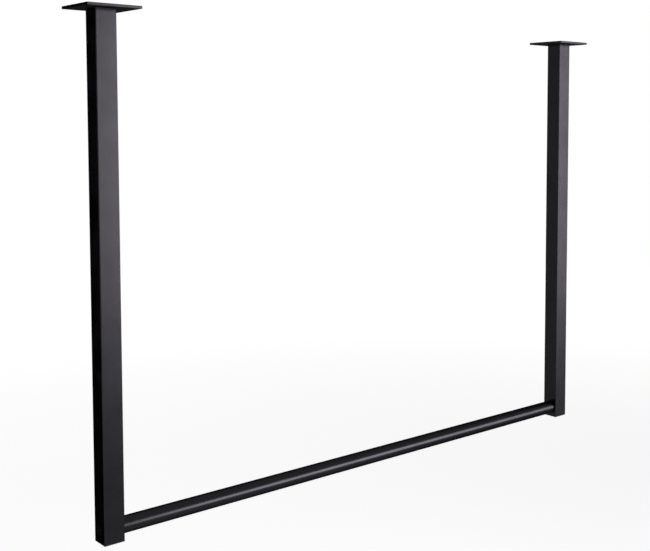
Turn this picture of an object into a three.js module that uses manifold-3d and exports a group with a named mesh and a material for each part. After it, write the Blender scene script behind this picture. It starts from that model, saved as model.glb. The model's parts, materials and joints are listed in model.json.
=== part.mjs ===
// A clothes rail that hangs from a ceiling, in millimetres, with +Z up.
// Two square posts are welded into ceiling plates, and a round rail is bolted between their lower ends.
// The origin lies in the ceiling plane, midway between the plates, and +X runs along the rail.
import * as THREE from 'three';
import { mergeVertices } from 'three/addons/utils/BufferGeometryUtils.js';
import Module from 'manifold-3d';

const wasm = await Module();
wasm.setup();

// Frame
const outerWidth = 1300; // over the outer faces of the posts
const drop = 975; // from the ceiling to the lower ends of the posts

// Posts, cut from square tube
const postSize = 40;
const postWall = 2;
const postCorner = 1.5; // radius outside
const postInnerCorner = 0.5; // radius inside

// Ceiling plates
const plateSize = 104;
const plateThickness = 5;
const plateCorner = 1;
const plateInset = 2; // from the post's axis to the plate's centre, towards the middle
const screwHoleRadius = 3.5;
const screwHeadRadius = 7; // mouth of the countersink, on the underside
const screwEdgeDistance = 14;

// Weld that fills the groove round the top of a post
const weldDepth = 2;

// Rail
const railRadius = 16;
const railWall = 2;
const railAxisHeight = 24; // above the lower ends of the posts

// Plug inside each end of the rail
const plugLength = 25;
const plugChamfer = 1;

// Bolt through each post, an M8 cap screw, and its washer
const boltRadius = 4;
const boltTipChamfer = 1;
const boltHeadRadius = 6.5;
const boltHeadHeight = 8;
const boltHeadChamfer = 0.6;
const boltHeadSetBack = 2; // below the outer face of the post
const boltEngagement = 20; // length held in the plug
const socketAcrossFlats = 6;
const socketDepth = 4;
const washerRadius = 8;
const washerThickness = 1.6;

// Sleeve that spans the post round the bolt
const sleeveWall = 1.7;
const sleeveSetBack = 0.5; // below the outer face of the post

// Plastic cap in the lower end of each post
const capFlange = 2;
const skirtWall = 2;
const skirtHeadroom = 2; // from the top of the skirt to the sleeve
const finReach = 0.8;
const finThickness = 1.2;
const finCount = 2;

// Shared values
const clearance = 0.3; // between pieces that fit in each other
const overrun = 1; // of every cutting tool past the surface that it cuts
const roundSegments = 64;
const smallRoundSegments = 32;
const cornerSegments = 4;
const sides = [
  { name: 'left', turn: Math.PI },
  { name: 'right', turn: 0 },
];

// Places that follow from the sizes above
const postAxisX = (outerWidth - postSize) / 2;
const railAxisZ = railAxisHeight - drop;
const postBore = postSize - 2 * postWall;
const halfBore = postBore / 2;
const boltHoleRadius = boltRadius + clearance;
const recessRadius = washerRadius + clearance;
const sleeveRadius = recessRadius + sleeveWall;

// Flat ends of a bolt's head, measured along the bolt from the axis of the post
const headTop = postSize / 2 - boltHeadSetBack;
const headSeat = headTop - boltHeadHeight;

// A square outline about the origin with rounded corners.
function squareOutline(size, corner, PathType = THREE.Shape) {
  const reach = size / 2 - corner;
  const centres = [[reach, reach], [-reach, reach], [-reach, -reach], [reach, -reach]];
  const outline = new PathType();
  centres.forEach(([x, y], index) => {
    const startAngle = (index * Math.PI) / 2;
    outline.absarc(x, y, corner, startAngle, startAngle + Math.PI / 2, false);
  });
  outline.closePath();
  return outline;
}

// A straight bar of square section that stands on the plane z = 0, hollow when it has a bore.
function squareBar(size, corner, height, bore = 0, boreCorner = 0) {
  const outline = squareOutline(size, corner);
  if (bore > 0) {
    outline.holes.push(squareOutline(bore, boreCorner, THREE.Path));
  }
  return new THREE.ExtrudeGeometry(outline, {
    depth: height,
    bevelEnabled: false,
    curveSegments: cornerSegments,
  });
}

// A sharp four-sided taper that stands on the plane z = 0.
function squareTaper(lowerSize, upperSize, height) {
  const taper = new THREE.CylinderGeometry(
    upperSize * Math.SQRT1_2, lowerSize * Math.SQRT1_2, height, 4,
  );
  taper.rotateY(Math.PI / 4);
  taper.rotateX(Math.PI / 2);
  taper.translate(0, 0, height / 2);
  return taper;
}

// A turned piece along +Z. Its profile is a list of [radius, place along the axis].
function turned(profile, segments) {
  const points = profile.map(([radius, along]) => new THREE.Vector2(radius, along));
  const geometry = new THREE.LatheGeometry(points, segments);
  geometry.rotateX(Math.PI / 2);
  return geometry;
}

// A turned piece with its axis along +X.
function turnedAlongX(profile, segments) {
  return turned(profile, segments).rotateY(Math.PI / 2);
}

// A turned tube between two places along its axis.
function ringProfile(outerRadius, innerRadius, start, end) {
  return [
    [innerRadius, start],
    [outerRadius, start],
    [outerRadius, end],
    [innerRadius, end],
    [innerRadius, start],
  ];
}

// A straight round hole or bar between two places along its axis.
function barProfile(radius, start, end) {
  return [[0, start], [radius, start], [radius, end], [0, end]];
}

// A closed geometry as a solid that can be joined and cut.
function solidFrom(geometry) {
  const plain = geometry.clone();
  plain.deleteAttribute('normal');
  plain.deleteAttribute('uv');
  const merged = mergeVertices(plain);
  const corners = merged.index.array;
  const triangles = [];
  for (let start = 0; start < corners.length; start += 3) {
    const [a, b, c] = corners.slice(start, start + 3);
    if (a !== b && b !== c && c !== a) {
      triangles.push(a, b, c);
    }
  }
  return new wasm.Manifold(new wasm.Mesh({
    numProp: 3,
    vertProperties: new Float32Array(merged.attributes.position.array),
    triVerts: new Uint32Array(triangles),
  }));
}

// A solid as a geometry with flat faces.
function geometryFrom(solid) {
  const { vertProperties, triVerts } = solid.getMesh();
  const geometry = new THREE.BufferGeometry();
  geometry.setAttribute('position', new THREE.BufferAttribute(vertProperties, 3));
  geometry.setIndex(new THREE.BufferAttribute(triVerts, 1));
  geometry.computeVertexNormals();
  return geometry;
}

// The first geometry with the others cut out of it.
function cut(geometry, tools) {
  const solid = tools.reduce((rest, tool) => rest.subtract(solidFrom(tool)), solidFrom(geometry));
  return geometryFrom(solid);
}

// The geometries joined into one body.
function join(geometries) {
  const [first, ...others] = geometries.map(solidFrom);
  return geometryFrom(others.reduce((whole, solid) => whole.add(solid), first));
}

// Ceiling plate, with its top face on z = 0 and the axis of the post through the origin.
function ceilingPlate() {
  const plate = squareBar(plateSize, plateCorner, plateThickness);
  plate.translate(-plateInset, 0, -plateThickness);
  const windowSize = postSize + 2 * clearance;
  const opening = squareBar(windowSize, postCorner, plateThickness + 2 * overrun);
  opening.translate(0, 0, -plateThickness - overrun);
  const groove = squareTaper(windowSize, windowSize + 2 * (weldDepth + overrun), weldDepth + overrun);
  groove.translate(0, 0, -weldDepth);
  const screwReach = plateSize / 2 - screwEdgeDistance;
  const screwHoles = [-screwReach, screwReach].flatMap((x) => (
    [-screwReach, screwReach].map((y) => screwHole().translate(x - plateInset, y, 0))
  ));
  return cut(plate, [opening, groove, ...screwHoles]);
}

// Tool that cuts a countersunk screw hole, with its mouth on the underside of the plate.
function screwHole() {
  const underside = -plateThickness;
  return turned([
    [0, underside - overrun],
    [screwHeadRadius + overrun, underside - overrun],
    [screwHoleRadius, underside + screwHeadRadius - screwHoleRadius],
    [screwHoleRadius, overrun],
    [0, overrun],
  ], smallRoundSegments);
}

// Weld bead in the groove, ground flush with the top of the plate.
function plateWeld() {
  const bead = squareTaper(postSize, postSize + 2 * weldDepth, weldDepth);
  bead.translate(0, 0, -weldDepth);
  const bore = squareBar(postBore, postInnerCorner, weldDepth + 2 * overrun);
  bore.translate(0, 0, -weldDepth - overrun);
  return cut(bead, [bore]);
}

// Post, from the weld down to the flange of its cap, bored for the sleeve and the bolt.
function post() {
  const length = drop - weldDepth - capFlange;
  const tube = squareBar(postSize, postCorner, length, postBore, postInnerCorner);
  tube.translate(0, 0, -weldDepth - length);
  const sleeveHole = turnedAlongX(
    barProfile(sleeveRadius + clearance, halfBore - overrun, postSize / 2 + overrun), smallRoundSegments,
  );
  const boltHole = turnedAlongX(
    barProfile(boltHoleRadius, -postSize / 2 - overrun, -halfBore + overrun), smallRoundSegments,
  );
  return cut(tube, [sleeveHole, boltHole].map((tool) => tool.translate(0, 0, railAxisZ)));
}

// Cap for the lower end of a post: a flange under the tube and a finned skirt inside it.
function endCap() {
  const finSize = postBore - 2 * clearance;
  const skirtSize = finSize - 2 * finReach;
  const skirtHeight = railAxisHeight - sleeveRadius - skirtHeadroom - capFlange;
  const flange = squareBar(postSize, postCorner, capFlange);
  const skirt = squareBar(skirtSize, postInnerCorner, skirtHeight + overrun);
  skirt.translate(0, 0, capFlange - overrun);
  const finPitch = skirtHeight / (finCount + 1);
  const fins = Array.from({ length: finCount }, (_, index) => {
    const fin = squareBar(finSize, postInnerCorner, finThickness);
    return fin.translate(0, 0, capFlange + (index + 1) * finPitch - finThickness / 2);
  });
  const hollow = squareBar(skirtSize - 2 * skirtWall, postInnerCorner, skirtHeight + overrun);
  hollow.translate(0, 0, capFlange);
  return cut(join([flange, skirt, ...fins]), [hollow]).translate(0, 0, -drop);
}

// Sleeve across the inside of a post, with a deep recess for the bolt's head and washer.
function boltSleeve() {
  const innerEnd = -halfBore;
  const outerEnd = postSize / 2 - sleeveSetBack;
  const recessFloor = headSeat - washerThickness;
  return turnedAlongX([
    [boltHoleRadius, innerEnd],
    [sleeveRadius, innerEnd],
    [sleeveRadius, outerEnd],
    [recessRadius, outerEnd],
    [recessRadius, recessFloor],
    [boltHoleRadius, recessFloor],
    [boltHoleRadius, innerEnd],
  ], smallRoundSegments);
}

// Washer between the bolt's head and the floor of the recess.
function boltWasher() {
  const profile = ringProfile(washerRadius, boltHoleRadius, headSeat - washerThickness, headSeat);
  return turnedAlongX(profile, smallRoundSegments);
}

// Cap screw with a hexagon socket, from its head in the post to its tip in the plug.
function railBolt() {
  const tip = -postSize / 2 - boltEngagement;
  const body = turnedAlongX([
    [0, tip],
    [boltRadius - boltTipChamfer, tip],
    [boltRadius, tip + boltTipChamfer],
    [boltRadius, headSeat],
    [boltHeadRadius, headSeat],
    [boltHeadRadius, headTop - boltHeadChamfer],
    [boltHeadRadius - boltHeadChamfer, headTop],
    [0, headTop],
  ], smallRoundSegments);
  const socketRadius = socketAcrossFlats / 2 / Math.cos(Math.PI / 6);
  const socket = turnedAlongX(barProfile(socketRadius, headTop - socketDepth, headTop + overrun), 6);
  return cut(body, [socket]);
}

// Threaded plug, flush with the end of the rail and clamped against the post.
function railPlug() {
  const outerRadius = railRadius - railWall - clearance;
  const outerEnd = -postSize / 2;
  const innerEnd = outerEnd - plugLength;
  return turnedAlongX([
    [boltHoleRadius, innerEnd],
    [outerRadius - plugChamfer, innerEnd],
    [outerRadius, innerEnd + plugChamfer],
    [outerRadius, outerEnd],
    [boltHoleRadius, outerEnd],
    [boltHoleRadius, innerEnd],
  ], smallRoundSegments);
}

// Rail, with its ends on the inner faces of the posts.
function railTube() {
  const halfLength = outerWidth / 2 - postSize;
  const profile = ringProfile(railRadius, railRadius - railWall, -halfLength, halfLength);
  return turnedAlongX(profile, roundSegments);
}

// Black powder coat over welded steel.
function powderCoat() {
  return new THREE.MeshStandardMaterial({ color: '#1b1b1d', roughness: 0.55, metalness: 0 });
}

// Black moulded plastic.
function blackPlastic() {
  return new THREE.MeshStandardMaterial({ color: '#151516', roughness: 0.6, metalness: 0 });
}

// Steel with a black oxide finish.
function blackenedSteel() {
  return new THREE.MeshStandardMaterial({ color: '#242426', roughness: 0.4, metalness: 0.7 });
}

// Bare turned steel, hidden inside the tubes.
function bareSteel() {
  return new THREE.MeshStandardMaterial({ color: '#8d8f92', roughness: 0.35, metalness: 0.9 });
}

// A named mesh with its own material, at a place of its own.
function piece(name, geometry, material, x = 0, z = 0) {
  const mesh = new THREE.Mesh(geometry, material);
  mesh.name = name;
  mesh.position.set(x, 0, z);
  return mesh;
}

// One post with everything on it. The left side is the right side turned half way round.
function buildSide({ name, turn }) {
  const side = new THREE.Group();
  side.rotation.z = turn;
  side.add(
    piece(`ceiling_plate_${name}`, ceilingPlate(), powderCoat(), postAxisX),
    piece(`plate_weld_${name}`, plateWeld(), powderCoat(), postAxisX),
    piece(`post_${name}`, post(), powderCoat(), postAxisX),
    piece(`end_cap_${name}`, endCap(), blackPlastic(), postAxisX),
    piece(`bolt_sleeve_${name}`, boltSleeve(), blackenedSteel(), postAxisX, railAxisZ),
    piece(`bolt_washer_${name}`, boltWasher(), blackenedSteel(), postAxisX, railAxisZ),
    piece(`rail_bolt_${name}`, railBolt(), blackenedSteel(), postAxisX, railAxisZ),
    piece(`rail_plug_${name}`, railPlug(), bareSteel(), postAxisX, railAxisZ),
  );
  return side;
}

// The whole clothes rail.
function buildClothesRail() {
  const clothesRail = new THREE.Group();
  clothesRail.add(...sides.map(buildSide));
  clothesRail.add(piece('rail_tube', railTube(), powderCoat(), 0, railAxisZ));
  return clothesRail;
}

export default buildClothesRail();
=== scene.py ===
"""A black clothes rail that hangs from a ceiling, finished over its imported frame.

Lengths are in metres. +X runs along the rail and +Z points up into the ceiling. The origin lies in the ceiling plane,
midway between the two ceiling plates. Whatever belongs to one post is drawn at the right-hand post, and turned half
way round for the left-hand one.
"""

import json
import logging
import math
from abc import ABC, abstractmethod
from collections.abc import Callable, Sequence
from dataclasses import dataclass, field
from enum import Enum

import bmesh
import bpy
from mathutils import Matrix, Vector

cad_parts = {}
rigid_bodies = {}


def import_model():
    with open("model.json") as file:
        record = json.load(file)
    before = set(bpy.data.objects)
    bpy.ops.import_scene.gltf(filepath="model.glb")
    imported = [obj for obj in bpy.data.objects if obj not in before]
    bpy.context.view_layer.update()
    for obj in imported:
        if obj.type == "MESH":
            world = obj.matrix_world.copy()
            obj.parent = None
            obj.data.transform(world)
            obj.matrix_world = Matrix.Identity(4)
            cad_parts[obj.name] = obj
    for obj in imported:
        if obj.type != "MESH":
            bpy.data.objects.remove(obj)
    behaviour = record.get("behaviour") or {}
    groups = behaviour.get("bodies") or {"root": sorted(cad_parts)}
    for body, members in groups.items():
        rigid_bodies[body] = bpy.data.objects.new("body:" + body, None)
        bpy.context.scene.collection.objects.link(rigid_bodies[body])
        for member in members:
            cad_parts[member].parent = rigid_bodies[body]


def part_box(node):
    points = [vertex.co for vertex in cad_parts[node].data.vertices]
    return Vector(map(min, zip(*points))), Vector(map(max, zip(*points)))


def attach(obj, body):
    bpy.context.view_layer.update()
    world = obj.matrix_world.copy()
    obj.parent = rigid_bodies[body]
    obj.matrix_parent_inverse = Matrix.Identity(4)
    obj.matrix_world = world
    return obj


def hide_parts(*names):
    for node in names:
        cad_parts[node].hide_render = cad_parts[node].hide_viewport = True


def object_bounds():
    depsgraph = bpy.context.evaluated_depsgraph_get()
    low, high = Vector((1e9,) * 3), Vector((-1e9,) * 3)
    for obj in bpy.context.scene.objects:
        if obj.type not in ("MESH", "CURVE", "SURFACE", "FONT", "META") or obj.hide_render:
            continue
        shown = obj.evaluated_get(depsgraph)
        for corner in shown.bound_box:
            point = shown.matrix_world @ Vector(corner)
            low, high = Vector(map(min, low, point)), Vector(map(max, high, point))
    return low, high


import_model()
cad_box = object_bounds()

log = logging.getLogger("clothes_rail")

Profile = list[Vector]
Ring = list[Vector]
Radius = float | Callable[[float], float]  # one for a whole ring, or a function that gives it for an angle
Mesh = bpy.types.Mesh
Socket = bpy.types.NodeSocket
Colour = tuple[float, float, float, float]

HALF = 0.5
HALF_TURN = math.pi
QUARTER_TURN = HALF_TURN * HALF
SQUARE_CORNERS = 4
MATRIX_SIZE = 4  # of a turn that can be joined with a move

# Fineness of the meshes
CORNER_STEPS = 8  # along each corner of a square outline
ROUND_STEPS = 96  # round a small turned piece
EASE_STEPS = 4  # across each rounded edge
MERGE_DISTANCE = 1e-7
SHARP_ANGLE = math.radians(38)

# Cutting tools
OVERRUN = 0.001  # past the surface that a tool cuts

# Patterns
WHITE: Colour = (1.0, 1.0, 1.0, 1.0)
SOFT_GRAIN = 2.0  # octaves of finer blots
FINE_GRAIN = 3.0
EVEN_GRAIN = (1.0, 1.0, 1.0)
GRAIN_MIDDLE = (0.3, 0.7)  # most of a grain lies between these
GLANCING = (0.55, 0.85)  # from 0 for a surface seen from in front to 1 for one seen along it


def turn_about(axis: str, angle: float) -> Matrix:
    """Make the turn about an axis by an angle."""
    return Matrix.Rotation(angle, MATRIX_SIZE, axis)


ALONG_X = turn_about("Y", QUARTER_TURN)  # lays a piece drawn along +Z down along +X


class Side(Enum):
    """The two ends of the rail."""

    RIGHT = "right"
    LEFT = "left"

    @property
    def turn(self) -> Matrix:
        """The turn from the right-hand side to this one."""
        return turn_about("Z", HALF_TURN if self is Side.LEFT else 0)


class Slot(Enum):
    """The material slots of the record."""

    POWDER_COAT = "black_powder_coat"
    PLASTIC = "black_plastic"
    BLACK_OXIDE = "blackened_steel"
    BARE_STEEL = "bare_steel"


# Profiles


def middle_of(low: float, high: float) -> float:
    """Give the middle of a span."""
    return (low + high) * HALF


def half_of(low: float, high: float) -> float:
    """Give half the length of a span."""
    return (high - low) * HALF


def bend(start: Vector, corner: Vector, end: Vector) -> Profile:
    """Draw the short curve that takes the place of a corner.

    Args:
        start: where the curve leaves the first edge.
        corner: the sharp corner.
        end: where the curve meets the second edge.

    Returns:
        Points from start to end.
    """
    shares = [step / EASE_STEPS for step in range(EASE_STEPS + 1)]
    return [start.lerp(corner, share).lerp(corner.lerp(end, share), share) for share in shares]


def eased(profile: Profile, reach: float, closed: bool = False) -> Profile:
    """Round the corners of a profile.

    Args:
        profile: the sharp profile.
        reach: how far from a corner its curve starts.
        closed: whether the last point joins the first.

    Returns:
        The profile with a curve at each corner. The ends of an open profile stay as they are.
    """
    rounded: Profile = []
    for index, corner in enumerate(profile):
        if not closed and index in (0, len(profile) - 1):
            rounded.append(corner)
            continue
        before = profile[index - 1]
        after = profile[(index + 1) % len(profile)]
        start = corner.lerp(before, min(reach / (before - corner).length, HALF))
        end = corner.lerp(after, min(reach / (after - corner).length, HALF))
        rounded.extend(bend(start, corner, end))
    return rounded


def points(*places: Sequence[float]) -> Profile:
    """List the points of a profile.

    Args:
        places: for a turned piece a radius and a height, and for a square one half its width, a height and the
            radius of its corners.

    Returns:
        The same places as vectors.
    """
    return [Vector(place) for place in places]


# Rings and skins


def square_ring(half_width: float, height: float, corner: float) -> Ring:
    """Place points on a level square with rounded corners about the Z axis.

    Args:
        half_width: from the axis to a side.
        height: above the origin.
        corner: radius of the corners.

    Returns:
        The points in order, seen from above against the clock.
    """
    reach = half_width - corner
    ring: Ring = []
    for quarter in range(SQUARE_CORNERS):
        turn = turn_about("Z", quarter * QUARTER_TURN)
        for step in range(CORNER_STEPS + 1):
            angle = step / CORNER_STEPS * QUARTER_TURN
            x = reach + corner * math.cos(angle)
            y = reach + corner * math.sin(angle)
            ring.append(turn @ Vector((x, y, height)))
    return ring


def turned_ring(radius: Radius, height: float, steps: int = ROUND_STEPS) -> Ring:
    """Place points on a level ring about the Z axis.

    Args:
        radius: of the ring.
        height: above the origin.
        steps: number of points.

    Returns:
        The points in order, seen from above against the clock.
    """
    ring: Ring = []
    for step in range(steps):
        angle = step / steps * math.tau
        reach = radius(angle) if callable(radius) else radius
        ring.append(Vector((reach * math.cos(angle), reach * math.sin(angle), height)))
    return ring


def finished(shell: bmesh.types.BMesh) -> Mesh:
    """Turn a mesh that is still open to changes into one that an object can hold.

    Args:
        shell: the mesh, which is gone afterwards.

    Returns:
        The finished mesh.
    """
    mesh = bpy.data.meshes.new("skin")
    shell.to_mesh(mesh)
    shell.free()
    return mesh


def skin(rings: Sequence[Ring], closed: bool) -> Mesh:
    """Stretch a skin over rings that have the same number of points.

    Args:
        rings: the rings in order along the surface.
        closed: whether the last ring joins the first, as on a tube with a wall. Otherwise each end gets a face.

    Returns:
        A mesh without gaps, its faces turned outward.
    """
    shell = bmesh.new()
    loops = [[shell.verts.new(point) for point in ring] for ring in rings]
    neighbours = list(zip(loops, loops[1:]))
    if closed:
        neighbours.append((loops[-1], loops[0]))
    else:
        shell.faces.new(loops[0])
        shell.faces.new(loops[-1])
    for first, second in neighbours:
        for index in range(len(first)):
            shell.faces.new((first[index - 1], first[index], second[index], second[index - 1]))
    bmesh.ops.remove_doubles(shell, verts=shell.verts, dist=MERGE_DISTANCE)
    bmesh.ops.recalc_face_normals(shell, faces=shell.faces)
    return finished(shell)


def square_skin(profile: Profile, closed: bool) -> Mesh:
    """Stretch a skin over a square profile about the Z axis.

    Args:
        profile: half widths, heights and corner radii.
        closed: whether the profile runs back to its start.

    Returns:
        The mesh.
    """
    return skin([square_ring(*place) for place in profile], closed)


def turned_skin(profile: Profile, closed: bool, steps: int = ROUND_STEPS) -> Mesh:
    """Stretch a skin over a turned profile about the Z axis.

    Args:
        profile: radii and heights.
        closed: whether the profile runs back to its start.
        steps: number of facets round the axis.

    Returns:
        The mesh.
    """
    return skin([turned_ring(radius, height, steps) for radius, height in profile], closed)


# Holes


def hole_tool(radius: float, low: float, high: float, ease: float, mouth: float = 0.0) -> Mesh:
    """Make the tool that cuts a round hole with rounded rims through a wall.

    Args:
        radius: of the hole.
        low: height of the wall's lower face.
        high: height of its upper face.
        ease: reach of the rounding at both rims.
        mouth: radius of a countersink in the lower face, where there is one.

    Returns:
        The tool, standing on the Z axis.
    """
    lower_radius = max(mouth, radius)
    throat = low + lower_radius - radius
    lower_corner = Vector((lower_radius, low))
    upper_corner = Vector((radius, high))
    outward = Vector((ease, 0))
    inward = Vector((radius, throat if mouth else high)) - lower_corner
    rims = [
        *bend(lower_corner + outward, lower_corner, lower_corner + inward.normalized() * ease),
        *([Vector((radius, throat))] if mouth else []),
        *bend(upper_corner - Vector((0, ease)), upper_corner, upper_corner + outward),
    ]
    foot = lower_corner + outward - Vector((0, OVERRUN))
    head = upper_corner + outward + Vector((0, OVERRUN))
    return turned_skin([foot, *rims, head], closed=False)


def drilled(blank: Mesh, tools: Sequence[Mesh]) -> Mesh:
    """Cut tools out of a mesh.

    Args:
        blank: the uncut mesh.
        tools: closed meshes that pass through it.

    Returns:
        The cut mesh.
    """
    bench = bpy.context.scene.collection.objects
    work = bpy.data.objects.new("work", blank)
    bench.link(work)
    cutters: list[bpy.types.Object] = []
    for tool in tools:
        cutter = bpy.data.objects.new("cutter", tool)
        bench.link(cutter)
        cutters.append(cutter)
        boolean = work.modifiers.new("drill", "BOOLEAN")
        boolean.operation = "DIFFERENCE"
        boolean.solver = "EXACT"
        boolean.object = cutter
    shell = bmesh.new()
    shell.from_object(work, bpy.context.evaluated_depsgraph_get())
    bmesh.ops.dissolve_degenerate(shell, edges=shell.edges, dist=MERGE_DISTANCE)
    result = finished(shell)
    for spare in (work, *cutters):
        bpy.data.objects.remove(spare)
    return result


@dataclass(frozen=True)
class Thread:
    """A metric screw thread about the Z axis.

    Attributes:
        crest: largest radius.
        depth: from crest to root.
        pitch: height of one turn.
        rings_per_turn: number of rings to a turn.
    """

    crest: float
    depth: float
    pitch: float = 0.00125
    rings_per_turn: int = 6

    def radius(self, angle: float, height: float) -> float:
        """Give the radius at a place on the thread.

        Args:
            angle: round the axis.
            height: along the axis.

        Returns:
            The distance from the axis.
        """
        turn = (height / self.pitch - angle / math.tau) % 1.0
        ridge = 1.0 - abs(turn - HALF) / HALF
        return self.crest - self.depth * (1.0 - ridge)

    def rings(self, low: float, high: float, steps: int) -> list[Ring]:
        """Place the rings of the thread.

        Args:
            low: height of the first ring.
            high: height of the last.
            steps: number of points round the axis.

        Returns:
            The rings in order upward.
        """
        count = round((high - low) / self.pitch * self.rings_per_turn)
        heights = [low + (high - low) * index / count for index in range(count + 1)]
        return [turned_ring(lambda angle: self.radius(angle, height), height, steps) for height in heights]


# Finishes


class Recipe:
    """The node tree of one material, with the kinds of node that the finishes share."""

    def __init__(self, name: str) -> None:
        """Start a material.

        Args:
            name: of the material.
        """
        self.material = bpy.data.materials.new(name)
        self.material.use_nodes = True
        self.nodes = self.material.node_tree.nodes
        self.links = self.material.node_tree.links
        self.shader = self.nodes["Principled BSDF"]
        self.place = self.nodes.new("ShaderNodeTexCoord").outputs["Object"]

    def fix(self, socket: str, value: float | Colour) -> None:
        """Set a socket of the shader that is the same all over."""
        self.shader.inputs[socket].default_value = value

    def feed(self, socket: str, source: Socket) -> None:
        """Lead a pattern into a socket of the shader."""
        self.links.new(source, self.shader.inputs[socket])

    def grain(self, size: float, detail: float = SOFT_GRAIN, stretch: Sequence[float] = EVEN_GRAIN) -> Socket:
        """Add a cloudy grain.

        Args:
            size: of its largest blots.
            detail: octaves of finer blots.
            stretch: how much finer it is along each axis.

        Returns:
            The grain, from 0 to 1.
        """
        mapping = self.nodes.new("ShaderNodeMapping")
        mapping.inputs["Scale"].default_value = stretch
        self.links.new(self.place, mapping.inputs["Vector"])
        noise = self.nodes.new("ShaderNodeTexNoise")
        noise.inputs["Scale"].default_value = 1 / size
        noise.inputs["Detail"].default_value = detail
        self.links.new(mapping.outputs["Vector"], noise.inputs["Vector"])
        return noise.outputs["Fac"]

    def beads(self, size: float) -> Socket:
        """Add close round beads.

        Args:
            size: of one bead.

        Returns:
            The distance from the nearest bead's middle, as a share of its size.
        """
        cells = self.nodes.new("ShaderNodeTexVoronoi")
        cells.feature = "SMOOTH_F1"
        cells.inputs["Scale"].default_value = 1 / size
        self.links.new(self.place, cells.inputs["Vector"])
        return cells.outputs["Distance"]

    def fade(self, source: Socket, across: tuple[float, float], before: float, after: float) -> Socket:
        """Turn a pattern into a value that changes softly from one level to another.

        Args:
            source: the pattern.
            across: where in the pattern the change starts and where it ends.
            before: the value until the change starts.
            after: the value once it has ended.

        Returns:
            The value.
        """
        node = self.nodes.new("ShaderNodeMapRange")
        node.interpolation_type = "SMOOTHSTEP"
        levels = {"From Min": across[0], "From Max": across[1], "To Min": before, "To Max": after}
        for name, level in levels.items():
            node.inputs[name].default_value = level
        self.links.new(source, node.inputs["Value"])
        return node.outputs["Result"]

    def tint(self, source: Socket, dark: Colour, light: Colour) -> Socket:
        """Turn a grain into two colours.

        Args:
            source: the grain.
            dark: colour of its dark blots.
            light: colour of its light ones.

        Returns:
            The colour.
        """
        node = self.nodes.new("ShaderNodeValToRGB")
        for stop, place, colour in zip(node.color_ramp.elements, GRAIN_MIDDLE, (dark, light)):
            stop.position = place
            stop.color = colour
        self.links.new(source, node.inputs["Fac"])
        return node.outputs["Color"]

    def mottle(self, grain: Socket, smooth: float, rough: float) -> None:
        """Let a grain change the roughness.

        Args:
            grain: the grain.
            smooth: roughness of its dark blots.
            rough: roughness of its light ones.
        """
        self.feed("Roughness", self.fade(grain, GRAIN_MIDDLE, smooth, rough))

    def shine(self, facing: float, glancing: float, edge_tint: Colour) -> None:
        """Let the surface shine as metal does, less so where it is seen at a glancing angle.

        Args:
            facing: share of metal seen from in front.
            glancing: share of metal seen along the surface.
            edge_tint: of the shine on its way to a glancing angle.
        """
        weight = self.nodes.new("ShaderNodeLayerWeight")
        self.feed("Metallic", self.fade(weight.outputs["Facing"], GLANCING, facing, glancing))
        self.fix("Specular IOR Level", 0.0)
        self.fix("Specular Tint", edge_tint)

    def relief(self, layers: Sequence[tuple[Socket, float]]) -> None:
        """Raise the surface by patterns laid over each other.

        Args:
            layers: each a pattern and its height.
        """
        normal: Socket | None = None
        for source, height in layers:
            bump = self.nodes.new("ShaderNodeBump")
            bump.inputs["Distance"].default_value = height
            self.links.new(source, bump.inputs["Height"])
            if normal:
                self.links.new(normal, bump.inputs["Normal"])
            normal = bump.outputs["Normal"]
        self.feed("Normal", normal)


@dataclass(frozen=True)
class Finish(ABC):
    """What a surface is made of.

    Attributes:
        dark: colour of its dark blots.
        light: colour of its light ones.
        smooth: least roughness.
        rough: greatest roughness.
    """

    dark: Colour
    light: Colour
    smooth: float
    rough: float

    @abstractmethod
    def material(self) -> bpy.types.Material:
        """Make the material.

        Returns:
            A material of procedural nodes.
        """


@dataclass(frozen=True)
class PowderCoat(Finish):
    """Satin black powder coat, darkest where it lies thick: a fine orange peel over beads of melted powder.

    Attributes:
        metal_effect: share of the coat that shines as metal does, from the flake in it.
        glancing_effect: the same share at a glancing angle.
        edge_tint: of the shine on its way to a glancing angle.
        haze_size: of the blots in the roughness.
        peel_size: of one dimple of the orange peel.
        peel_height: of the orange peel.
        bead_size: of one bead.
        bead_height: of the beads.
        cloud_size: of the slow change in colour.
    """

    dark: Colour = (0.0139, 0.0132, 0.0150, 1.0)
    light: Colour = (0.0163, 0.0155, 0.0175, 1.0)
    metal_effect: float = 0.85
    glancing_effect: float = 0.02
    edge_tint: Colour = (0.39, 0.39, 0.39, 1.0)
    smooth: float = 0.20
    rough: float = 0.26
    haze_size: float = 0.0032
    peel_size: float = 0.0016
    peel_height: float = 0.00004
    bead_size: float = 0.0007
    bead_height: float = 0.000012
    cloud_size: float = 0.045

    def material(self) -> bpy.types.Material:
        """Make the material.

        Returns:
            The coat.
        """
        recipe = Recipe("satin_powder_coat")
        recipe.feed("Base Color", recipe.tint(recipe.grain(self.cloud_size), self.dark, self.light))
        recipe.shine(self.metal_effect, self.glancing_effect, self.edge_tint)
        recipe.mottle(recipe.grain(self.haze_size, FINE_GRAIN), self.smooth, self.rough)
        peel = (recipe.grain(self.peel_size), self.peel_height)
        beads = (recipe.beads(self.bead_size), self.bead_height)
        recipe.relief([peel, beads])
        return recipe.material


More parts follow.
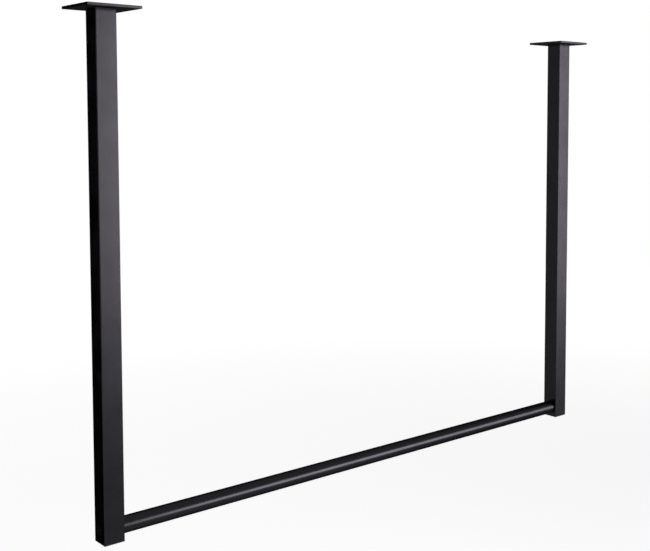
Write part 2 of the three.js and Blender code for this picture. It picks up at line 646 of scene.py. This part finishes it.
@dataclass(frozen=True)
class MouldedPlastic(Finish):
    """Matt black plastic from a spark-eroded mould, painted darker in its pits as shade.

    Attributes:
        specular: strength of the reflection.
        texture_size: of one pit.
        texture_height: of the texture.
    """

    # dark is painted into the pits of the texture, as shade
    dark: Colour = (0.011, 0.011, 0.0115, 1.0)
    light: Colour = (0.016, 0.016, 0.0165, 1.0)
    smooth: float = 0.55
    rough: float = 0.7
    specular: float = 0.1
    texture_size: float = 0.0005
    texture_height: float = 0.00003

    def material(self) -> bpy.types.Material:
        """Make the material.

        Returns:
            The plastic.
        """
        recipe = Recipe("moulded_plastic")
        pits_and_painted_shade = recipe.grain(self.texture_size, FINE_GRAIN)
        # The colour follows the pits: painted shade, darker where the surface is low.
        recipe.feed("Base Color", recipe.tint(pits_and_painted_shade, self.dark, self.light))
        recipe.fix("Specular IOR Level", self.specular)
        recipe.mottle(pits_and_painted_shade, self.smooth, self.rough)
        recipe.relief([(pits_and_painted_shade, self.texture_height)])
        return recipe.material


@dataclass(frozen=True)
class BlackOxide(Finish):
    """Steel blackened in an oxide bath and oiled, lightest where the oxide is thin.

    Attributes:
        metallic: share of it that shines as metal does.
        glancing_metallic: the same share at a glancing angle.
        edge_tint: of the shine on its way to a glancing angle.
        blot_size: of the blots in it.
        scratch_size: of the fine tool marks.
        scratch_height: of the tool marks.
    """

    dark: Colour = (0.008, 0.008, 0.0085, 1.0)
    light: Colour = (0.018, 0.018, 0.0195, 1.0)
    metallic: float = 0.85
    glancing_metallic: float = 0.05
    edge_tint: Colour = (0.4, 0.4, 0.4, 1.0)
    smooth: float = 0.36
    rough: float = 0.5
    blot_size: float = 0.0022
    scratch_size: float = 0.0004
    scratch_height: float = 0.000006

    def material(self) -> bpy.types.Material:
        """Make the material.

        Returns:
            The blackened steel.
        """
        recipe = Recipe("black_oxide")
        blots = recipe.grain(self.blot_size, FINE_GRAIN)
        recipe.feed("Base Color", recipe.tint(blots, self.dark, self.light))
        recipe.shine(self.metallic, self.glancing_metallic, self.edge_tint)
        recipe.mottle(blots, self.smooth, self.rough)
        recipe.relief([(recipe.grain(self.scratch_size), self.scratch_height)])
        return recipe.material


@dataclass(frozen=True)
class TurnedSteel(Finish):
    """Bare steel off the lathe with the fine rings that the tool leaves, painted darker where the rings dip, as
    shade.

    Attributes:
        metallic: share of it that shines as metal does.
        ring_size: from one ring to the next.
        ring_height: of the rings.
        stretch: how much finer the marks are along the axis than round it.
    """

    # dark is painted where the tool rings dip, as shade
    dark: Colour = (0.36, 0.37, 0.38, 1.0)
    light: Colour = (0.56, 0.57, 0.58, 1.0)
    metallic: float = 1.0
    smooth: float = 0.24
    rough: float = 0.4
    ring_size: float = 0.004
    ring_height: float = 0.00001
    stretch: tuple[float, float, float] = (16.0, 1.0, 1.0)

    def material(self) -> bpy.types.Material:
        """Make the material.

        Returns:
            The bare steel.
        """
        recipe = Recipe("turned_steel")
        marks = recipe.grain(self.ring_size, FINE_GRAIN, self.stretch)
        # The colour follows the tool rings: painted shade, darker where the surface dips.
        recipe.feed("Base Color", recipe.tint(marks, self.dark, self.light))
        recipe.fix("Metallic", self.metallic)
        recipe.mottle(marks, self.smooth, self.rough)
        recipe.relief([(marks, self.ring_height)])
        return recipe.material


FINISHES: dict[Slot, Finish] = {
    Slot.POWDER_COAT: PowderCoat(),
    Slot.PLASTIC: MouldedPlastic(),
    Slot.BLACK_OXIDE: BlackOxide(),
    Slot.BARE_STEEL: TurnedSteel(),
}


# Sub-assemblies


@dataclass
class Piece:
    """A finished mesh and the node that it stands for.

    Attributes:
        name: of the object.
        node: of the frame, which it replaces.
        slot: whose finish it takes.
        mesh: in its own place.
    """

    name: str
    node: str
    slot: Slot
    mesh: Mesh


@dataclass
class SubAssembly(ABC):
    """Pieces that are made and dressed together."""

    pieces: list[Piece] = field(default_factory=list, init=False)

    @abstractmethod
    def build(self) -> None:
        """Make the meshes of the pieces."""

    def dress(self, materials: dict[Slot, bpy.types.Material]) -> None:
        """Put the pieces into the scene, each in its finish and on the frame.

        Args:
            materials: one for each slot.
        """
        for piece in self.pieces:
            piece.mesh.shade_smooth()
            piece.mesh.set_sharp_from_angle(angle=SHARP_ANGLE)
            piece.mesh.materials.append(materials[piece.slot])
            thing = bpy.data.objects.new(piece.name, piece.mesh)
            bpy.context.scene.collection.objects.link(thing)
            shading = thing.modifiers.new("flat_faces", "WEIGHTED_NORMAL")
            shading.keep_sharp = True
            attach(thing, "root")
            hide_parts(piece.node)
            log.info("%s stands for %s with %d faces", piece.name, piece.node, len(piece.mesh.polygons))


@dataclass
class SidePart(SubAssembly):
    """A sub-assembly that both sides have.

    Attributes:
        side: on which it stands.
    """

    side: Side = Side.RIGHT

    @property
    def post_axis(self) -> Vector:
        """The point where the right-hand post's axis meets the ceiling."""
        low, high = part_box("post_right")
        return Vector((middle_of(low.x, high.x), 0, 0))

    @property
    def rail_height(self) -> float:
        """Height of the rail's axis, below the ceiling and so below zero."""
        low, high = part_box("rail_tube")
        return middle_of(low.z, high.z)

    def add(self, name: str, node: str, slot: Slot, mesh: Mesh, at: Vector) -> None:
        """Keep a mesh as a piece of this side.

        Args:
            name: of the piece, without its side.
            node: that it replaces, without its side.
            slot: whose finish it takes.
            mesh: drawn about the origin.
            at: its place on the right-hand side.
        """
        mesh.transform(self.side.turn @ Matrix.Translation(at))
        side = self.side.value
        self.pieces.append(Piece(f"{name}_{side}", f"{node}_{side}", slot, mesh))


@dataclass
class CeilingFixing(SidePart):
    """The plate that is screwed to the ceiling, and the weld that holds the post in it.

    Attributes:
        corner: radius of the plate's corners.
        edge: reach of the rounding on the plate's edges.
        screw_radius: of the screw holes.
        screw_mouth: radius of their countersinks, in the underside.
        screw_inset: from the plate's edges to a screw's axis.
        rim: reach of the rounding at the screw holes.
        window: half the width of the opening for the post.
        window_corner: radius of its corners.
        groove_depth: of the welding groove.
        bead_width: half the width of the weld where it meets the post's end.
        bore: half the width of the post's inside.
        bore_corner: radius of its corners.
        bead_edge: reach of the rounding on the weld.
    """

    corner: float = 0.001
    edge: float = 0.0005
    screw_radius: float = 0.0035
    screw_mouth: float = 0.007
    screw_inset: float = 0.014
    rim: float = 0.0003
    window: float = 0.0203
    window_corner: float = 0.0016
    groove_depth: float = 0.002
    bead_width: float = 0.020
    bore: float = 0.018
    bore_corner: float = 0.0005
    bead_edge: float = 0.00015

    def build(self) -> None:
        """Make the plate and the weld."""
        self.add("fixing_plate", "ceiling_plate", Slot.POWDER_COAT, self.plate(), self.post_axis)
        self.add("weld_bead", "plate_weld", Slot.POWDER_COAT, self.weld(), self.post_axis)

    def plate(self) -> Mesh:
        """Make the plate with its screw holes and its opening for the post.

        Returns:
            The plate, drawn about the post's axis.
        """
        low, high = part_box("ceiling_plate_right")
        half = half_of(low.x, high.x)
        middle = Vector((middle_of(low.x, high.x), 0, 0)) - self.post_axis
        flat = half - self.screw_inset
        edge = points(
            (flat, low.z, self.corner),
            (half, low.z, self.corner),
            (half, high.z, self.corner),
            (flat, high.z, self.corner),
        )
        groove = self.window + self.groove_depth
        opening = points(
            (flat, high.z, self.window_corner),
            (groove, high.z, self.window_corner),
            (self.window, high.z - self.groove_depth, self.window_corner),
            (self.window, low.z, self.window_corner),
            (flat, low.z, self.window_corner),
        )
        outer = [[point + middle for point in square_ring(*place)] for place in eased(edge, self.edge)[1:-1]]
        inner = [square_ring(*place) for place in eased(opening, self.rim)[1:-1]]
        tools: list[Mesh] = []
        for x in (-flat, flat):
            for y in (-flat, flat):
                tool = hole_tool(self.screw_radius, low.z, high.z, self.rim, self.screw_mouth)
                tool.transform(Matrix.Translation(middle + Vector((x, y, 0))))
                tools.append(tool)
        return drilled(skin([*outer, *inner], closed=True), tools)

    def weld(self) -> Mesh:
        """Make the weld bead, ground flush with the top of the plate.

        Returns:
            The bead, drawn about the post's axis.
        """
        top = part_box("plate_weld_right")[1].z
        foot = top - self.groove_depth
        profile = points(
            (self.bore, foot, self.bore_corner),
            (self.bead_width, foot, self.window_corner),
            (self.bead_width + self.groove_depth, top, self.window_corner),
            (self.bore, top, self.bore_corner),
        )
        return square_skin(eased(profile, self.bead_edge, closed=True), closed=True)


@dataclass
class HangingPost(SidePart):
    """The square tube, drilled for the bolt, and the plastic cap in its lower end.

    Attributes:
        wall: of the tube.
        corner: radius of the tube's corners outside.
        bore_corner: radius of its corners inside.
        end_edge: reach of the rounding on its sawn ends.
        sleeve_hole: radius of the hole in the outer face.
        bolt_hole: radius of the hole in the face towards the rail.
        rim: reach of the rounding at both holes.
        flange: thickness of the cap's flange.
        skirt: half the width of the cap's skirt.
        skirt_wall: of the skirt.
        fin: half the width over its fins.
        fin_thickness: of a fin.
        fin_count: number of fins.
        cap_edge: reach of the rounding on the cap.
        gate: radius of the mark where the plastic flowed in.
        gate_depth: of that mark.
    """

    wall: float = 0.002
    corner: float = 0.0015
    bore_corner: float = 0.0005
    end_edge: float = 0.0004
    sleeve_hole: float = 0.0103
    bolt_hole: float = 0.0043
    rim: float = 0.0004
    flange: float = 0.002
    skirt: float = 0.0169
    skirt_wall: float = 0.002
    fin: float = 0.0177
    fin_thickness: float = 0.0012
    fin_count: int = 2
    cap_edge: float = 0.0006
    gate: float = 0.0015
    gate_depth: float = 0.0003

    def build(self) -> None:
        """Make the tube and the cap."""
        self.add("post_tube", "post", Slot.POWDER_COAT, self.tube(), self.post_axis)
        self.add("moulded_cap", "end_cap", Slot.PLASTIC, self.cap(), self.post_axis)

    def tube(self) -> Mesh:
        """Make the tube with a hole in two of its faces.

        Returns:
            The tube, drawn about the post's axis.
        """
        low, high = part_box("post_right")
        half = half_of(low.x, high.x)
        bore = half - self.wall
        profile = points(
            (bore, low.z, self.bore_corner),
            (half, low.z, self.corner),
            (half, high.z, self.corner),
            (bore, high.z, self.bore_corner),
        )
        blank = square_skin(eased(profile, self.end_edge, closed=True), closed=True)
        tools = [
            hole_tool(self.sleeve_hole, bore, half, self.rim),
            hole_tool(self.bolt_hole, -half, -bore, self.rim),
        ]
        for tool in tools:
            tool.transform(Matrix.Translation((0, 0, self.rail_height)) @ ALONG_X)
        return drilled(blank, tools)

    def cap(self) -> Mesh:
        """Make the cap from the mark under its flange to the floor inside its skirt.

        Returns:
            The cap, drawn about the post's axis.
        """
        low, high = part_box("end_cap_right")
        half = half_of(low.x, high.x)
        shoulder = low.z + self.flange
        inside = self.skirt - self.skirt_wall
        core = self.gate * HALF
        gate_floor = low.z + self.gate_depth
        profile = points(
            (core, gate_floor, core),
            (self.gate, gate_floor, self.gate),
            (self.gate + self.gate_depth, low.z, self.gate),
            (half, low.z, self.corner),
            (half, shoulder, self.corner),
            (self.skirt, shoulder, self.bore_corner),
        )
        pitch = (high.z - shoulder) / (self.fin_count + 1)
        for index in range(self.fin_count):
            under = shoulder + (index + 1) * pitch - self.fin_thickness * HALF
            over = under + self.fin_thickness
            profile += points(
                (self.skirt, under, self.bore_corner),
                (self.fin, under, self.bore_corner),
                (self.fin, over, self.bore_corner),
                (self.skirt, over, self.bore_corner),
            )
        profile += points(
            (self.skirt, high.z, self.bore_corner),
            (inside, high.z, self.bore_corner),
            (inside, shoulder, self.bore_corner),
            (core, shoulder, core),
        )
        return square_skin(eased(profile, self.cap_edge), closed=False)


@dataclass
class RailJoint(SidePart):
    """What clamps the rail to a post: a sleeve across the tube, a washer, a cap screw and a plug in the rail's end.

    Heights are measured along the screw from the post's axis, positive away from the rail.

    Attributes:
        bolt_hole: radius of the bores that the screw passes.
        recess: radius of the recess for the screw's head.
        seat: height of the underside of the head.
        washer_thickness: of the washer.
        edge: reach of the rounding on the sleeve, washer and plug.
        shank: radius of the screw.
        thread_length: of the screw.
        thread_depth: from crest to root.
        thread_gap: between the threads of the screw and the plug.
        tip_chamfer: of the screw's tip.
        head: radius of the head, over its knurl.
        knurl_depth: of the knurl.
        knurl_teeth: number of its teeth.
        knurl_margin: from the knurl to both ends of the head.
        head_chamfer: of the head's rim.
        socket: half the width across the flats of the socket.
        socket_sides: number of its flats.
        socket_depth: of the socket.
        socket_chamfer: at its mouth.
        groove_count: number of grooves round the plug.
        groove_width: of each.
        groove_depth: of each.
        plug_chamfer: of the plug's inner end.
        steps: facets round the screw and the plug, two to a tooth of the knurl.
    """

    bolt_hole: float = 0.0043
    recess: float = 0.0083
    seat: float = 0.010
    washer_thickness: float = 0.0016
    edge: float = 0.0003
    shank: float = 0.004
    thread_length: float = 0.028
    thread_depth: float = 0.00068
    thread_gap: float = 0.0001
    tip_chamfer: float = 0.001
    head: float = 0.0065
    knurl_depth: float = 0.0002
    knurl_teeth: int = 48
    knurl_margin: float = 0.0012
    head_chamfer: float = 0.0006
    socket: float = 0.003
    socket_sides: int = 6
    socket_depth: float = 0.004
    socket_chamfer: float = 0.0004
    groove_count: int = 3
    groove_width: float = 0.002
    groove_depth: float = 0.0004
    plug_chamfer: float = 0.001
    steps: int = 96

    def build(self) -> None:
        """Make the sleeve, the washer, the screw and the plug."""
        self.add_along_rail("head_sleeve", "bolt_sleeve", Slot.BLACK_OXIDE, self.sleeve())
        self.add_along_rail("flat_washer", "bolt_washer", Slot.BLACK_OXIDE, self.washer())
        self.add_along_rail("cap_screw", "rail_bolt", Slot.BLACK_OXIDE, self.screw())
        self.add_along_rail("threaded_plug", "rail_plug", Slot.BARE_STEEL, self.plug())

    def add_along_rail(self, name: str, node: str, slot: Slot, mesh: Mesh) -> None:
        """Keep a mesh drawn along +Z as a piece on the rail's axis.

        Args:
            name: of the piece, without its side.
            node: that it replaces, without its side.
            slot: whose finish it takes.
            mesh: drawn about the Z axis.
        """
        mesh.transform(ALONG_X)
        self.add(name, node, slot, mesh, self.post_axis + Vector((0, 0, self.rail_height)))

    def span_of(self, node: str) -> tuple[float, float, float]:
        """Measure a turned node of the right-hand side.

        Args:
            node: its name without its side.

        Returns:
            Its lowest and highest place along the screw, and its radius.
        """
        low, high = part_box(f"{node}_right")
        axis = self.post_axis.x
        return low.x - axis, high.x - axis, half_of(low.z, high.z)

    def sleeve(self) -> Mesh:
        """Make the sleeve, with the recess that takes the head of the screw.

        Returns:
            The sleeve, drawn along +Z.
        """
        start, end, radius = self.span_of("bolt_sleeve")
        floor = self.seat - self.washer_thickness
        profile = points(
            (self.bolt_hole, start),
            (radius, start),
            (radius, end),
            (self.recess, end),
            (self.recess, floor),
            (self.bolt_hole, floor),
        )
        return turned_skin(eased(profile, self.edge, closed=True), closed=True)

    def washer(self) -> Mesh:
        """Make the washer.

        Returns:
            The washer, drawn along +Z.
        """
        start, end, radius = self.span_of("bolt_washer")
        profile = points((self.bolt_hole, start), (radius, start), (radius, end), (self.bolt_hole, end))
        return turned_skin(eased(profile, self.edge, closed=True), closed=True)

    def ring(self, radius: Radius, height: float) -> Ring:
        """Place a ring of the screw or the plug."""
        return turned_ring(radius, height, self.steps)

    def knurled(self, angle: float) -> float:
        """Give the radius of the knurl at an angle."""
        return self.head - self.knurl_depth * half_of(math.cos(self.knurl_teeth * angle), 1)

    def hexagon(self, angle: float) -> float:
        """Give the distance from the axis to the wall of the socket at an angle, which is greatest at 0."""
        side = math.tau / self.socket_sides
        return self.socket / math.cos(angle % side - side * HALF)

    def screw(self) -> Mesh:
        """Make the cap screw from its tip to its socket.

        Returns:
            The screw, drawn along +Z.
        """
        tip, top, _ = self.span_of("rail_bolt")
        thread = Thread(self.shank, self.thread_depth)
        root = self.shank - self.thread_depth
        thread_end = tip + self.thread_length
        plain_head = self.head - self.knurl_depth
        rim = self.head - self.head_chamfer
        mouth = self.hexagon(0) + self.socket_chamfer
        rings = [
            self.ring(root * HALF, tip),
            self.ring(root - self.edge, tip),
            self.ring(root, tip + self.edge),
            *thread.rings(tip + self.tip_chamfer, thread_end, self.steps),
            self.ring(self.shank, thread_end + self.tip_chamfer),
            self.ring(self.shank, self.seat),
            self.ring(plain_head - self.edge, self.seat),
            self.ring(plain_head, self.seat + self.edge),
            self.ring(plain_head, self.seat + self.knurl_margin * HALF),
            self.ring(self.knurled, self.seat + self.knurl_margin),
            self.ring(self.knurled, top - self.knurl_margin),
            self.ring(plain_head, top - self.head_chamfer),
            self.ring(rim, top),
            self.ring(mouth, top),
            self.ring(self.hexagon, top - self.socket_chamfer),
            self.ring(self.hexagon, top - self.socket_depth),
            self.ring(self.socket * HALF, top - self.socket_depth),
        ]
        return skin(rings, closed=False)

    def plug(self) -> Mesh:
        """Make the plug, grooved outside and threaded inside.

        Returns:
            The plug, drawn along +Z.
        """
        start, end, radius = self.span_of("rail_plug")
        thread = Thread(self.shank + self.thread_gap, self.thread_depth)
        profile = points((radius - self.plug_chamfer, start), (radius, start + self.plug_chamfer))
        pitch = (end - start) / (self.groove_count + 1)
        groove = radius - self.groove_depth
        for index in range(self.groove_count):
            near = start + (index + 1) * pitch - self.groove_width * HALF
            far = near + self.groove_width
            profile += points((radius, near), (groove, near), (groove, far), (radius, far))
        profile += points((radius, end), (self.bolt_hole, end))
        outside = [self.ring(*place) for place in eased(profile, self.edge)]
        inside = thread.rings(start, end - self.edge, self.steps)
        return skin([*outside, *reversed(inside)], closed=True)


@dataclass
class Rail(SubAssembly):
    """The round tube that the hangers hook over.

    Attributes:
        wall: of the tube.
        edge: reach of the rounding on its ends.
        steps: facets round it.
    """

    wall: float = 0.002
    edge: float = 0.0004
    steps: int = 160

    def build(self) -> None:
        """Make the tube."""
        low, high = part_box("rail_tube")
        radius = half_of(low.z, high.z)
        bore = radius - self.wall
        profile = points((bore, low.x), (radius, low.x), (radius, high.x), (bore, high.x))
        mesh = turned_skin(eased(profile, self.edge, closed=True), closed=True, steps=self.steps)
        mesh.transform(Matrix.Translation((0, 0, middle_of(low.z, high.z))) @ ALONG_X)
        self.pieces.append(Piece("hanging_rail", "rail_tube", Slot.POWDER_COAT, mesh))


# Studio


def shown_rays(tree: bpy.types.NodeTree) -> Socket:
    """Add the light paths that show the background: from the camera, a mirror or through glass.

    Args:
        tree: of the floor's material or the world.

    Returns:
        1 for such a ray and 0 for any other.
    """
    path = tree.nodes.new("ShaderNodeLightPath")
    total = path.outputs["Is Camera Ray"]
    for name in ("Is Glossy Ray", "Is Transmission Ray"):
        add = tree.nodes.new("ShaderNodeMath")
        add.operation = "ADD"
        add.use_clamp = True
        tree.links.new(total, add.inputs[0])
        tree.links.new(path.outputs[name], add.inputs[1])
        total = add.outputs[0]
    return total


@dataclass
class Surround:
    """The air of the studio: white to look at, and a dim light on everything.

    Attributes:
        white: strength that is seen.
        fill: strength that lights the object.
    """

    white: float = 1.0
    fill: float = 0.1

    def build(self) -> None:
        """Make the world."""
        world = bpy.data.worlds.new("surround")
        world.use_nodes = True
        tree = world.node_tree
        strength = tree.nodes.new("ShaderNodeMapRange")
        strength.inputs["To Min"].default_value = self.fill
        strength.inputs["To Max"].default_value = self.white
        tree.links.new(shown_rays(tree), strength.inputs["Value"])
        background = tree.nodes["Background"]
        background.inputs["Color"].default_value = WHITE
        tree.links.new(strength.outputs["Result"], background.inputs["Strength"])
        bpy.context.scene.world = world


@dataclass
class Floor:
    """A pale floor that takes the shadow and fades into the white surround far from the object.

    Attributes:
        height: of the floor, below the ceiling and so below zero.
        radius: of the floor.
        colour: of the floor.
        roughness: of the floor.
        near_glow: brightness that is added where the shadow falls.
        far_glow: brightness that is added at the edge.
        fade_start: how far from the middle the fading starts.
    """

    height: float = -2.45
    radius: float = 14.0
    colour: Colour = (0.82, 0.82, 0.82, 1.0)
    roughness: float = 1.0
    near_glow: float = 0.77
    far_glow: float = 1.0
    fade_start: float = 1.5

    def build(self) -> None:
        """Make the floor."""
        shell = bmesh.new()
        shell.faces.new([shell.verts.new(point) for point in turned_ring(self.radius, self.height)])
        mesh = finished(shell)
        mesh.materials.append(self.material())
        thing = bpy.data.objects.new("studio_floor", mesh)
        bpy.context.scene.collection.objects.link(thing)

    def material(self) -> bpy.types.Material:
        """Make the floor's material.

        Returns:
            A matt material that glows where it is seen and lights nothing.
        """
        recipe = Recipe("studio_floor")
        recipe.fix("Base Color", self.colour)
        recipe.fix("Roughness", self.roughness)
        recipe.fix("Specular IOR Level", 0.0)
        recipe.fix("Emission Color", WHITE)
        distance = recipe.nodes.new("ShaderNodeVectorMath")
        distance.operation = "LENGTH"
        recipe.links.new(recipe.place, distance.inputs[0])
        across = (self.fade_start, self.radius)
        level = recipe.fade(distance.outputs["Value"], across, self.near_glow, self.far_glow)
        glow = recipe.nodes.new("ShaderNodeMath")
        glow.operation = "MULTIPLY"
        recipe.links.new(level, glow.inputs[0])
        recipe.links.new(shown_rays(recipe.material.node_tree), glow.inputs[1])
        recipe.feed("Emission Strength", glow.outputs[0])
        return recipe.material


@dataclass(frozen=True)
class Softbox:
    """A soft lamp with a grid on its face, turned to the middle of the object.

    Attributes:
        name: of the lamp.
        bearing: degrees from the front of the object round towards its right-hand end.
        elevation: degrees above the middle of the object.
        distance: from the middle of the object.
        width: of the lamp.
        height: of the lamp.
        watts: for each square metre of its face.
        fan: degrees over which the grid lets its light out.
    """

    name: str
    bearing: float
    elevation: float
    distance: float
    width: float
    height: float
    watts: float
    fan: float = 80.0

    def build(self, target: Vector) -> None:
        """Hang the lamp.

        Args:
            target: the point that it faces.
        """
        lamp = bpy.data.lights.new(self.name, "AREA")
        lamp.shape = "RECTANGLE"
        lamp.size = self.width
        lamp.size_y = self.height
        lamp.energy = self.watts * self.width * self.height
        lamp.spread = math.radians(self.fan)
        bearing = math.radians(self.bearing)
        elevation = math.radians(self.elevation)
        level = math.cos(elevation)
        away = Vector((level * math.sin(bearing), -level * math.cos(bearing), math.sin(elevation)))
        thing = bpy.data.objects.new(self.name, lamp)
        thing.location = target + away * self.distance
        thing.rotation_euler = away.to_track_quat("Z", "Y").to_euler()
        thing.visible_camera = False
        bpy.context.scene.collection.objects.link(thing)


@dataclass
class Studio:
    """The floor, the surround and the lamps.

    Attributes:
        lamps: the softboxes.
    """

    lamps: tuple[Softbox, ...] = (
        Softbox("key_softbox", bearing=38.2, elevation=2.3, distance=6, width=3.8, height=2.75, watts=10.0),
        Softbox("low_softbox", bearing=38.2, elevation=-13.6, distance=6, width=3.8, height=0.76, watts=2.6),
        Softbox("front_softbox", bearing=-6, elevation=3, distance=7, width=3.4, height=2.2, watts=1.4),
        Softbox("left_softbox", bearing=-44, elevation=-14, distance=3.5, width=2.4, height=1.9, watts=1.2),
        Softbox("right_softbox", bearing=91, elevation=3, distance=5, width=1.0, height=2.4, watts=1.6),
        Softbox("back_softbox", bearing=136, elevation=-14, distance=3.5, width=2.4, height=1.9, watts=1.4),
    )

    def build(self) -> None:
        """Set up the studio round the object."""
        low, high = cad_box
        middle = Vector(low).lerp(Vector(high), HALF)
        for lamp in self.lamps:
            lamp.build(middle)
        Surround().build()
        Floor().build()


@dataclass
class Viewpoint:
    """The camera of the photograph, fitted to the edges of the posts, the plates and the rail.

    Attributes:
        place: of the camera.
        yaw: its turn from +Y towards +X.
        pitch: its tilt downward.
        roll: its turn about its own axis.
        focal_length: in millimetres, on the usual film width.
        film_width: in millimetres.
        shift_right: of the frame, as a share of its width.
        shift_up: of the frame, as a share of its width.
    """

    place: tuple[float, float, float] = (-1.4745, -1.7533, -0.2060)
    yaw: float = 0.72901
    pitch: float = 0.06559
    roll: float = 0.00164
    focal_length: float = 57.68
    film_width: float = 36.0
    shift_right: float = -0.12
    shift_up: float = -0.13

    def build(self) -> None:
        """Make the camera and look through it."""
        lens = bpy.data.cameras.new("viewpoint")
        lens.sensor_fit = "HORIZONTAL"
        lens.sensor_width = self.film_width
        lens.lens = self.focal_length
        lens.shift_x = self.shift_right
        lens.shift_y = self.shift_up
        aim = turn_about("Z", -self.yaw) @ turn_about("X", QUARTER_TURN - self.pitch) @ turn_about("Z", self.roll)
        camera = bpy.data.objects.new("viewpoint", lens)
        camera.matrix_world = Matrix.Translation(self.place) @ aim
        bpy.context.scene.collection.objects.link(camera)
        bpy.context.scene.camera = camera


def main() -> None:
    """Set up the camera and the studio, then build and dress the clothes rail."""
    logging.basicConfig(level=logging.INFO, format="%(name)s: %(message)s")
    bpy.context.scene.view_settings.view_transform = "Standard"
    Viewpoint().build()
    Studio().build()
    materials = {slot: finish.material() for slot, finish in FINISHES.items()}
    sub_assemblies: list[SubAssembly] = [Rail()]
    for side in Side:
        sub_assemblies += [CeilingFixing(side=side), HangingPost(side=side), RailJoint(side=side)]
    for sub_assembly in sub_assemblies:
        sub_assembly.build()
        sub_assembly.dress(materials)


if __name__ == "__main__":
    main()
